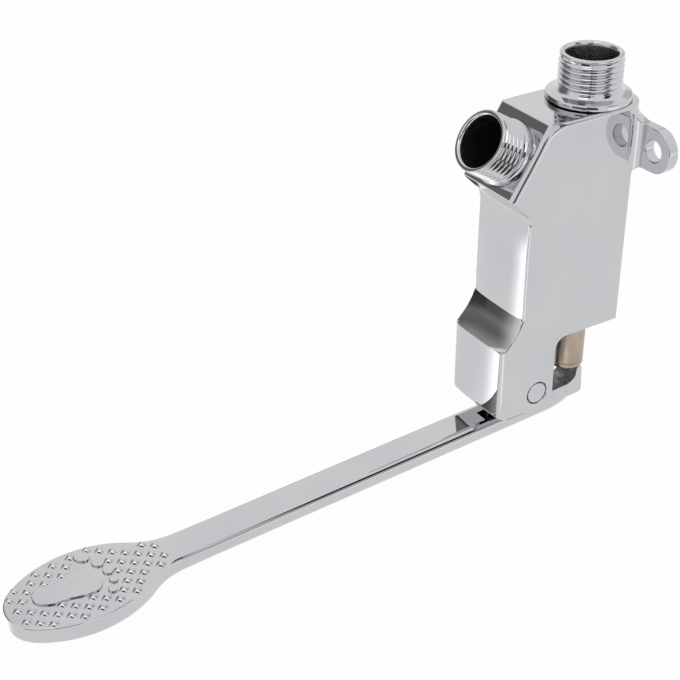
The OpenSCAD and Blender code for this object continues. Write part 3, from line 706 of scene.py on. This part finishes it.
@dataclass
class Pedal:
    """The pedal: oval pad, neck, round-edged bar, hub and upturned lip, in its own sloping frame.

    The edges change from the pad's rounding to the bar's between round_from and round_to, which count from
    the pad's middle. So do the places of studs and footprint. Ball and heel are X, Y and both radii.
    """

    slope_deg: float = 3.4
    bar_w: float = 13.0
    bar_t: float = 6.4
    bar_top: float = -10.2
    bar_round: float = 2.6
    taper_from: float = 9.0
    taper_r: float = 40.0
    taper_deg: float = 16.5
    pad_reach: float = 163.0
    pad_l: float = 49.6
    pad_w: float = 32.8
    pad_end_r: float = 12.3
    neck_r: float = 20.0
    pad_round: Pair = (0.45, 1.7)
    round_from: float = 16.0
    round_to: float = 40.0
    narrow_w: float = 9.6
    hub_r: float = 6.5
    hub_edge: float = 0.9
    web_spread: float = 1.0
    web_steps: Steps = ((0.7, 0.6), (1.6, 0.0))
    tail_t: float = 4.7
    tail_r: float = 1.6
    hollow_z: float = -9.3
    lip_reach: float = 25.75
    lip_t: float = 2.5
    lip_h: float = 6.4
    stud_pitch: float = 4.15
    stud_turn_deg: float = 4.0
    stud_w: float = 3.2
    stud_top_w: float = 0.9
    stud_h: float = 0.9
    stud_edge: float = 0.28
    stud_first: Pair = (-2.9, 20.2)
    stud_rows: int = 16
    stud_margin: float = 1.1
    stud_clear: float = 1.0
    neck_studs: Pair = (20.0, 28.5)
    neck_half: float = 8.2
    neck_taper: float = 0.25
    sole_h: float = 0.6
    sole_edge: float = 0.18
    sunk: float = 0.2
    toe_sides: int = 28
    ball: tuple[float, float, float, float] = (-0.8, 0.6, 7.0, 5.4)
    heel: tuple[float, float, float, float] = (-1.0, -9.0, 4.9, 7.0)

    def place(self) -> Matrix:
        """The way from the pedal's own millimetres to the row frame."""
        return to_row((0, *PIVOT), self.slope_deg)

    def pad_arcs(self) -> Point:
        """Works out the arcs of the oval pad, whose sides run into its round ends.

        Returns:
            How far along the pad its ends have their centres, and the sides' radius and how far across they
            have theirs.
        """
        end_y = self.pad_l / 2 - self.pad_end_r
        half = self.pad_w / 2
        side_r = (end_y ** 2 + half ** 2 - self.pad_end_r ** 2) / (self.pad_w - 2 * self.pad_end_r)
        return end_y, side_r, side_r - half

    def outline(self) -> BMesh:
        """Draws the outline of pad, neck and bar, from the pad's tip round to the bar's rear end.

        Returns:
            One flat face in the pedal's own millimetres.
        """
        end_y, side_r, side_x = self.pad_arcs()
        meet = math.degrees(math.atan2(side_x, end_y))
        neck_x = self.bar_w / 2 + self.neck_r
        far_y = -self.pad_reach - end_y
        rise = math.sqrt((self.neck_r + side_r) ** 2 - (neck_x + side_x) ** 2)
        turn = math.degrees(math.atan2(rise, neck_x + side_x))
        bm = bmesh.new()
        line = Arcs(bm, bm.verts.new((0, far_y - self.pad_end_r, 0)))
        line.arc((0, far_y), meet, steps=12)
        line.arc((-side_x, -self.pad_reach), 90 - meet + turn, steps=44)
        line.arc((neck_x, rise - self.pad_reach), -turn, steps=18)
        line.run((self.bar_w / 2, self.taper_from), steps=40)
        line.arc((self.bar_w / 2 - self.taper_r, self.taper_from), self.taper_deg, steps=10)
        line.run((0, line.tip.co.y))
        half_line = list(bm.verts) + list(bm.edges)
        bmesh.ops.mirror(bm, geom=half_line, matrix=Matrix.Identity(4), axis="X", merge_dist=FINE_WELD_MM)
        bmesh.ops.remove_doubles(bm, verts=bm.verts, dist=FINE_WELD_MM)
        bmesh.ops.contextual_create(bm, geom=list(bm.edges))
        return bm

    def weights(self, bm: BMesh) -> None:
        """Marks how round each edge of bar and pad is: full on the bar, crisp round the pad's top.

        Args:
            bm: The extruded outline.
        """
        layer = bm.edges.layers.float.new("bevel_weight_edge")
        start, end = -self.pad_reach + self.round_from, -self.pad_reach + self.round_to
        middle = self.bar_top - self.bar_t / 2
        for edge in bm.edges:
            a, b = (v.co for v in edge.verts)
            if abs(a.z - b.z) > WELD_MM:
                continue
            share = smooth_share((a.y + b.y) / 2, start, end)
            least = self.pad_round[0 if a.z > middle else 1]
            edge[layer] = (least + (self.bar_round - least) * share) / self.bar_round

    def side(self) -> BMesh:
        """Makes the narrow middle: hub, web, tail and lip as one slab on edge.

        Returns:
            The slab's mesh in the pedal's own millimetres.
        """
        crown = self.bar_top + self.lip_h - self.lip_t / 2
        hollow = crown - self.hollow_z
        front = self.lip_reach - self.lip_t / 2
        low = self.bar_top - self.tail_t
        back = self.lip_reach + self.lip_t / 2
        corner = (-self.hub_r - self.web_spread, low)
        web_start, web_end = ((self.hub_r + out, self.hollow_z + up) for out, up in self.web_steps)
        bm = bmesh.new()
        line = Arcs(bm, bm.verts.new((*corner, 0)))
        line.run((-self.hub_r, 0), steps=4)
        line.arc((0, 0), -180, steps=36)
        line.run(web_start, steps=4)
        line.run(web_end, steps=2)
        line.run((front - hollow, self.hollow_z), steps=4)
        line.arc((front - hollow, crown), 90, steps=14)
        line.arc((self.lip_reach, crown), -180, steps=14)
        line.run((back, low + self.tail_r), steps=3)
        line.arc((back - self.tail_r, low + self.tail_r), -90, steps=8)
        line.run(corner, steps=8)
        bmesh.ops.remove_doubles(bm, verts=bm.verts, dist=FINE_WELD_MM)
        face = bmesh.ops.contextual_create(bm, geom=list(bm.edges))["faces"]
        bmesh.ops.translate(bm, verts=bm.verts, vec=(0, 0, -self.narrow_w / 2))
        raise_faces(bm, face, self.narrow_w)
        bmesh.ops.recalc_face_normals(bm, faces=bm.faces)
        # The drawing's X and Y become the pedal's Y and Z
        turn = Matrix(((0, 0, 1, 0), (1, 0, 0, 0), (0, 1, 0, 0), (0, 0, 0, 1)))
        bmesh.ops.transform(bm, matrix=turn, verts=bm.verts)
        return bm

    def build_bar(self) -> None:
        """Makes bar, neck and pad as one plate with edges that change from round to crisp."""
        bm = self.outline()
        faces = list(bm.faces)
        bmesh.ops.translate(bm, verts=bm.verts, vec=(0, 0, self.bar_top - self.bar_t))
        raise_faces(bm, faces, self.bar_t)
        bmesh.ops.recalc_face_normals(bm, faces=bm.faces)
        self.weights(bm)
        obj = piece("pedal_bar_and_pad", bm, self.place(), [CHROME], Body.PEDAL,
                    ["pedal_lever"], smooth_deg=60)
        soften(obj, self.bar_round, segments=6)

    def build_hub(self) -> None:
        """Makes the hub and tail with small rounded edges, and gives the hollow before the lip a rough finish
        whose darker grey is painted shade.
        """
        bm = self.side()
        start, end = self.hub_r + self.web_spread, self.lip_reach - self.lip_t / 3
        for face in bm.faces:
            middle = face.calc_center_median()
            on_top = middle.z > self.hollow_z - WELD_MM and abs(face.normal.x) < math.sqrt(0.5)
            # The hollow's faces take the rough finish, whose darker grey is painted shade
            face.material_index = int(on_top and start < middle.y < end)
        obj = piece("pedal_hub_and_lip", bm, self.place(), [CHROME, ROUGH_CAST_AND_SHADE], Body.PEDAL,
                    ["pedal_lever"])
        soften(obj, self.hub_edge, segments=4, limit_deg=50)

    def toes(self) -> list[tuple[float, float, float, float, float]]:
        """Lists the toes of the footprint.

        Returns:
            For each toe X and Y from the pad's middle, both radii, and a turn in degrees.
        """
        return [(-11.4, 4.9, 2.7, 2.3, 35), (-5.9, 7.8, 2.0, 1.7, 40), (-0.9, 8.9, 1.75, 1.55, 20),
                (3.6, 8.8, 1.6, 1.5, 0), (7.5, 6.7, 1.6, 1.5, -20)]

    def sole(self) -> bpy.types.Curve:
        """Draws the sole of a right foot as a closed smooth curve: heel, arch and ball.

        Returns:
            The curve, with its origin at the pad's middle.
        """
        points = [(-1.2, -15.5), (-5.6, -12.6), (-4.7, -6.6), (-6.2, -2.4), (-6.6, 2.6), (-1.3, 5.5),
                  (5.0, 4.0), (5.5, -0.2), (4.0, -6.0), (3.0, -11.9)]
        curve = bpy.data.curves.new("sole", "CURVE")
        curve.dimensions = "2D"
        curve.fill_mode = "NONE"
        curve.resolution_u = 8
        spline = curve.splines.new("BEZIER")
        spline.bezier_points.add(len(points) - 1)
        spline.use_cyclic_u = True
        for knot, at in zip(spline.bezier_points, points):
            knot.co = (*at, 0)
            knot.handle_left_type = knot.handle_right_type = "AUTO"
        return curve

    def build_foot(self) -> list[Vector]:
        """Raises the footprint on the pad.

        Returns:
            Points on its outline, from the pad's middle, for keeping the studs clear.
        """
        curve = bpy.data.objects.new("sole", self.sole())
        bpy.context.scene.collection.objects.link(curve)
        bm = bmesh.new()
        bm.from_mesh(curve.to_mesh())
        curve.to_mesh_clear()
        bpy.data.objects.remove(curve)
        bmesh.ops.contextual_create(bm, geom=list(bm.edges))
        for x, y, rx, ry, turn in self.toes():
            toe = bmesh.ops.create_circle(bm, cap_ends=True, segments=self.toe_sides, radius=1)["verts"]
            spot = (Matrix.Translation((x, y, 0)) @ Matrix.Rotation(math.radians(turn), 4, "Z")
                    @ Matrix.Diagonal((rx, ry, 1, 1)))
            bmesh.ops.transform(bm, matrix=spot, verts=toe)
        bmesh.ops.recalc_face_normals(bm, faces=bm.faces)
        for face in bm.faces:
            if face.normal.z < 0:
                face.normal_flip()
        rim = [v.co.copy() for v in bm.verts]
        faces = list(bm.faces)
        bmesh.ops.translate(bm, verts=bm.verts, vec=(0, -self.pad_reach, self.bar_top - self.sunk))
        tops = raise_faces(bm, faces, self.sole_h + self.sunk, keep=False)
        round_off(bm, {e for f in tops for e in f.edges}, self.sole_edge, segments=2)
        bmesh.ops.recalc_face_normals(bm, faces=bm.faces)
        piece("pad_footprint", bm, self.place(), [CHROME], Body.PEDAL, smooth_deg=15)
        return rim

    def on_pad(self, at: Vector) -> bool:
        """Tells whether a point lies on the pad or its neck, clear of the rim.

        Args:
            at: The point, from the pad's middle.

        Returns:
            True if it does.
        """
        x, y, margin = abs(at.x), at.y, self.stud_margin
        end_y, side_r, side_x = self.pad_arcs()
        if abs(y) <= end_y + self.pad_end_r * end_y / math.hypot(side_x, end_y):
            return math.hypot(x + side_x, y) < side_r - margin
        if math.hypot(x, abs(y) - end_y) < self.pad_end_r - margin:
            return True
        start, end = self.neck_studs
        return 0 < y < end and x < self.neck_half - (y - start) * self.neck_taper - margin / 2

    def build_studs(self, keep_clear: list[Vector]) -> None:
        """Sets small square studs over the pad in a grid, except on the footprint.

        Args:
            keep_clear: Points on the footprint's outline.
        """
        bm = bmesh.new()
        turn = math.radians(45 + self.stud_turn_deg)
        along = Vector((math.cos(turn), math.sin(turn), 0)) * self.stud_pitch
        beside = Vector((along.y, -along.x, 0))
        pattern = self.stud(turn + math.radians(45))
        first = Vector((*self.stud_first, 0))
        lift = Vector((0, -self.pad_reach, self.bar_top + self.stud_h / 2 - self.sunk / 2))
        rows = range(-self.stud_rows, self.stud_rows + 1)
        for i, j in itertools.product(rows, rows):
            at = first + along * i + beside * j
            if not self.on_pad(at) or self.inside_foot(at):
                continue
            if min((at - p).length for p in keep_clear) < self.stud_clear:
                continue
            old = len(bm.verts)
            bm.from_mesh(pattern)
            bm.verts.ensure_lookup_table()
            bmesh.ops.translate(bm, verts=bm.verts[old:], vec=at + lift)
        bpy.data.meshes.remove(pattern)
        piece("pad_studs", bm, self.place(), [CHROME], Body.PEDAL, smooth_deg=60)

    def stud(self, turn: float) -> bpy.types.Mesh:
        """Makes one stud, a low square pyramid with rounded edges and a cut-off top.

        Args:
            turn: Its turn in radians.

        Returns:
            Its mesh, about the origin.
        """
        bm = bmesh.new()
        bmesh.ops.create_cone(bm, cap_ends=True, segments=4, radius1=self.stud_w * HALF_DIAGONAL,
                              radius2=self.stud_top_w * HALF_DIAGONAL, depth=self.stud_h + self.sunk)
        round_off(bm, bm.edges, self.stud_edge, segments=2)
        bmesh.ops.rotate(bm, verts=bm.verts, matrix=Matrix.Rotation(turn, 3, "Z"))
        mesh = bpy.data.meshes.new("stud")
        bm.to_mesh(mesh)
        bm.free()
        return mesh

    def inside_foot(self, at: Vector) -> bool:
        """Tells whether a point lies on the sole or a toe.

        Args:
            at: The point, from the pad's middle.

        Returns:
            True if it does.
        """
        rounds = [(x, y, max(rx, ry), max(rx, ry)) for x, y, rx, ry, _ in self.toes()]
        return any(math.hypot((at.x - x) / rx, (at.y - y) / ry) < 1
                   for x, y, rx, ry in (self.ball, self.heel, *rounds))

    def build(self) -> None:
        """Makes all of the pedal."""
        self.build_bar()
        self.build_hub()
        self.build_studs(self.build_foot())


@dataclass
class Studio:
    """Plain pale floor, even white light, and the dark screens and light panels that chrome mirrors."""

    floor_z: float = -0.19
    floor_half: float = 30.0
    floor_glow: float = 0.8
    fibre_scale: float = 250.0
    camera_at: Point = (0.345995, -0.326209, 0.198584)
    turn: float = 1.007
    tilt: float = 0.540
    lens_mm: float = 81.44
    sensor_mm: float = 36.0
    near_clip: float = 0.01
    card_steps: int = 24

    def camera(self) -> None:
        """Puts the camera where the photograph was taken from."""
        data = bpy.data.cameras.new("camera")
        data.lens = self.lens_mm
        data.sensor_width = self.sensor_mm
        data.clip_start = self.near_clip
        obj = bpy.data.objects.new("camera", data)
        right = Vector((math.cos(self.turn), math.sin(self.turn), 0))
        back = Vector((math.sin(self.turn) * math.cos(self.tilt), -math.cos(self.turn) * math.cos(self.tilt),
                       math.sin(self.tilt)))
        look = Matrix((right, back.cross(right), back)).transposed().to_4x4()
        obj.matrix_world = Matrix.Translation(self.camera_at) @ look
        bpy.context.scene.collection.objects.link(obj)
        bpy.context.scene.camera = obj

    def world(self) -> None:
        """Lights the scene evenly from all round with white."""
        world = bpy.data.worlds.new("studio")
        world.use_nodes = True
        tree = world.node_tree
        tree.nodes.clear()
        white = add(tree, "Background", {"Color": (1, 1, 1, 1), "Strength": 1.0})
        add(tree, "OutputWorld", {}, {"Surface": white.outputs["Background"]})
        bpy.context.scene.world = world

    def floor(self) -> None:
        """Lays a pale floor that shows white to the camera and to the chrome, and keeps a soft shadow."""
        material, tree = new_tree("Matt white studio board")
        path = add(tree, "LightPath")
        seen = path.outputs["Is Camera Ray"]
        for ray in ("Is Glossy Ray", "Is Transmission Ray"):
            either = add(tree, "Math", {"operation": "MAXIMUM"}, {0: seen, 1: path.outputs[ray]})
            seen = either.outputs["Value"]
        share = add(tree, "Math", {"operation": "MULTIPLY", 1: self.floor_glow}, {0: seen})
        place = add(tree, "TexCoord").outputs["Object"]
        fibre = add(tree, "TexNoise", {"Scale": self.fibre_scale, "Detail": 4.0}, {"Vector": place})
        paper = add(tree, "MixRGB", {"Color1": linear("#F8F8F8"), "Color2": linear("#FBFBFB")},
                    {"Fac": fibre.outputs["Fac"]})
        matt = add(tree, "BsdfDiffuse", {}, {"Color": paper.outputs["Color"]})
        white = add(tree, "Emission", {"Color": (1, 1, 1, 1), "Strength": 1.0})
        mix = add(tree, "MixShader", {}, {0: share.outputs["Value"], 1: matt.outputs["BSDF"],
                                          2: white.outputs["Emission"]})
        add(tree, "OutputMaterial", {}, {"Surface": mix.outputs["Shader"]})
        bm = bmesh.new()
        bmesh.ops.create_grid(bm, x_segments=1, y_segments=1, size=self.floor_half)
        bmesh.ops.translate(bm, verts=bm.verts, vec=(0, 0, self.floor_z))
        self.stage_object("floor", bm, material)

    def stage_object(self, name: str, bm: BMesh, material: bpy.types.Material) -> bpy.types.Object:
        """Turns a bmesh into an object of the studio, not of the valve.

        Args:
            name: The object's name.
            bm: Its mesh, which is freed.
            material: Its material.

        Returns:
            The new object.
        """
        mesh = bpy.data.meshes.new(name)
        bm.to_mesh(mesh)
        bm.free()
        mesh.materials.append(material)
        obj = bpy.data.objects.new(name, mesh)
        bpy.context.scene.collection.objects.link(obj)
        return obj

    def card(self, name: str, tones: tuple[float, ...], ends: tuple[Pair, Pair], sweep_deg: Pair,
             soft_deg: float = 3.0) -> None:
        """Sets a light panel or a dark screen round the valve, which only reflections show.

        Args:
            name: The card's name.
            tones: Its brightness in equal steps along the swept line, or one for all of it.
            ends: Radius and height of the two ends of the line that is swept round, in metres.
            sweep_deg: The directions between which it goes round, from +X towards +Y.
            soft_deg: The angle over which both its sides fade out.
        """
        peak, half = max(tones), (sweep_deg[1] - sweep_deg[0]) / 2
        (near, low), (far, high) = ends
        flat = abs(far - near) > abs(high - low)
        material, tree = new_tree(name)
        place = add(tree, "TexCoord").outputs["Object"]
        ahead = add(tree, "Mapping", {"Rotation": (0, 0, -math.radians(sweep_deg[0] + half))},
                    {"Vector": place})
        turn = add(tree, "TexGradient", {"gradient_type": "RADIAL"}, {"Vector": ahead.outputs["Vector"]})
        off = add(tree, "Math", {"operation": "SUBTRACT", 1: 0.5}, {0: turn.outputs["Fac"]})
        off = add(tree, "Math", {"operation": "ABSOLUTE"}, {0: off.outputs["Value"]})
        fade = add(tree, "MapRange", {"interpolation_type": "SMOOTHSTEP", "From Min": half / 360,
                                      "From Max": (half - soft_deg) / 360}, {"Value": off.outputs["Value"]})
        if flat:
            along = add(tree, "VectorMath", {"operation": "LENGTH"}, {0: place}).outputs["Value"]
            near, far = math.hypot(near, low), math.hypot(far, high)
        else:
            along = add(tree, "SeparateXYZ", {}, {0: place}).outputs["Z"]
            near, far = low, high
        share = add(tree, "MapRange", {"From Min": near, "From Max": far}, {"Value": along})
        colour = add(tree, "ValToRGB", {}, {"Fac": share.outputs["Result"]})
        ramp = colour.color_ramp.elements
        while len(ramp) < len(tones):
            ramp.new(1.0)
        for i, tone in enumerate(tones):
            ramp[i].position = i / max(1, len(tones) - 1)
            ramp[i].color = (tone / peak, tone / peak, tone / peak, 1)
        if len(tones) == 1:
            ramp.remove(ramp[1])
        glow = add(tree, "Emission", {"Strength": peak}, {"Color": colour.outputs["Color"]})
        clear = add(tree, "BsdfTransparent")
        mix = add(tree, "MixShader", {}, {0: fade.outputs["Result"], 1: clear.outputs["BSDF"],
                                          2: glow.outputs["Emission"]})
        add(tree, "OutputMaterial", {}, {"Surface": mix.outputs["Shader"]})
        bm = bmesh.new()
        verts = [bm.verts.new((radius, 0, height)) for radius, height in ends]
        edge = bm.edges.new(verts)
        start = Matrix.Rotation(math.radians(sweep_deg[0]), 3, "Z")
        bmesh.ops.rotate(bm, verts=verts, cent=(0, 0, 0), matrix=start)
        bmesh.ops.spin(bm, geom=verts + [edge], cent=(0, 0, 0), axis=(0, 0, 1), steps=self.card_steps,
                       angle=math.radians(2 * half), use_duplicate=False)
        obj = self.stage_object(name, bm, material)
        obj.visible_camera = obj.visible_diffuse = obj.visible_shadow = obj.visible_transmission = False

    def build(self) -> None:
        """Sets up camera, light, floor and cards."""
        bpy.context.scene.view_settings.view_transform = "Standard"
        self.camera()
        self.world()
        self.floor()
        low = self.floor_z + MM
        self.card("dark_room_left", (0.02, 0.06, 0.08, 0.22, 0.19, 0.17, 0.28, 0.38, 0.46),
                  ((1.0, low), (1.0, 0.834)), (176, 251), 26)
        self.card("grey_wall_behind", (0.7,), ((1.6, 0.35), (1.6, 1.0)), (108, 138), 8)
        self.card("dark_room_front", (0.02,), ((3.0, 2.15), (3.0, 3.2)), (-80, -32), 4)
        self.card("dark_room_behind_camera", (0.06, 0.1, 0.14, 0.22, 0.32),
                  ((1.25, low), (1.25, 0.9)), (-45, -18))
        self.card("light_panel_front", (1.9,), ((2.5, 2.75), (1.5, 3.6)), (-90, -42), 5)
        self.card("dark_floor_front", (0.06,), ((0.51, low), (1.3, low)), (-82, -46))
        self.card("dark_horizon_front", (0.06, 0.2), ((1.3, low), (1.3, 0.2)), (-82, -14))
        self.card("lit_floor_edge", (1.9,), ((0.15, low), (0.7, low)), (-132, -100), 16)
        self.card("lit_floor_near", (1.35,), ((0.20, low), (0.55, low)), (-56, -24), 8)
        self.card("dark_floor_left", (0.06,), ((0.25, low), (0.98, low)), (154, 184), 6)
        self.card("lit_floor_right", (1.35,), ((0.7, low), (2.9, low)), (8, 42))
        self.card("grey_horizon_right", (0.55,), ((3.0, 0.25), (3.0, 1.6)), (4, 42))
        self.card("dark_strip_right", (0.02,), ((2.9, 1.4), (2.9, 3.2)), (19, 47))


def dress_plain_nodes() -> None:
    """Gives each CAD node that stays its finish."""
    for name, finish in PLAIN_NODES.items():
        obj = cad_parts[name]
        obj.data.materials.clear()
        obj.data.materials.append(finish.material())
        LOG.info("%s: %s", name, finish.name)


def main() -> None:
    """Builds the studio and every part of the valve."""
    logging.basicConfig(level=logging.INFO)
    Studio().build()
    dress_plain_nodes()
    Column().build()
    collar = [(9.8, 4.6), (10.1, 3.9), (10.5, 3.2), (11.1, 2.7), (11.8, 2.45), (13.4, 2.1), (13.75, 1.95),
              (13.9, 1.7), (13.9, 0.4), (13.7, 0.3), (9.6, 0.3)]
    Nipple("inlet", "inlet_nipple", origin_mm=(0, AXIS_Y, 13.6), tilt_deg=0, foot=collar, thread_from=4.7,
           rim=15.3, inside=INLET_WALL).build()
    shoulder = [(10.1, 2.3), (10.75, 1.9), (10.9, 1.6), (10.9, 0.0)]
    Nipple("outlet", "outlet_nipple", origin_mm=OUTLET_AT, tilt_deg=58, foot=shoulder, thread_from=2.5,
           rim=12.3, inside=WATERWAY).build()
    PushRod().build()
    ReturnSpring().build()
    PivotPin().build()
    Pedal().build()


if __name__ == "__main__":
    main()
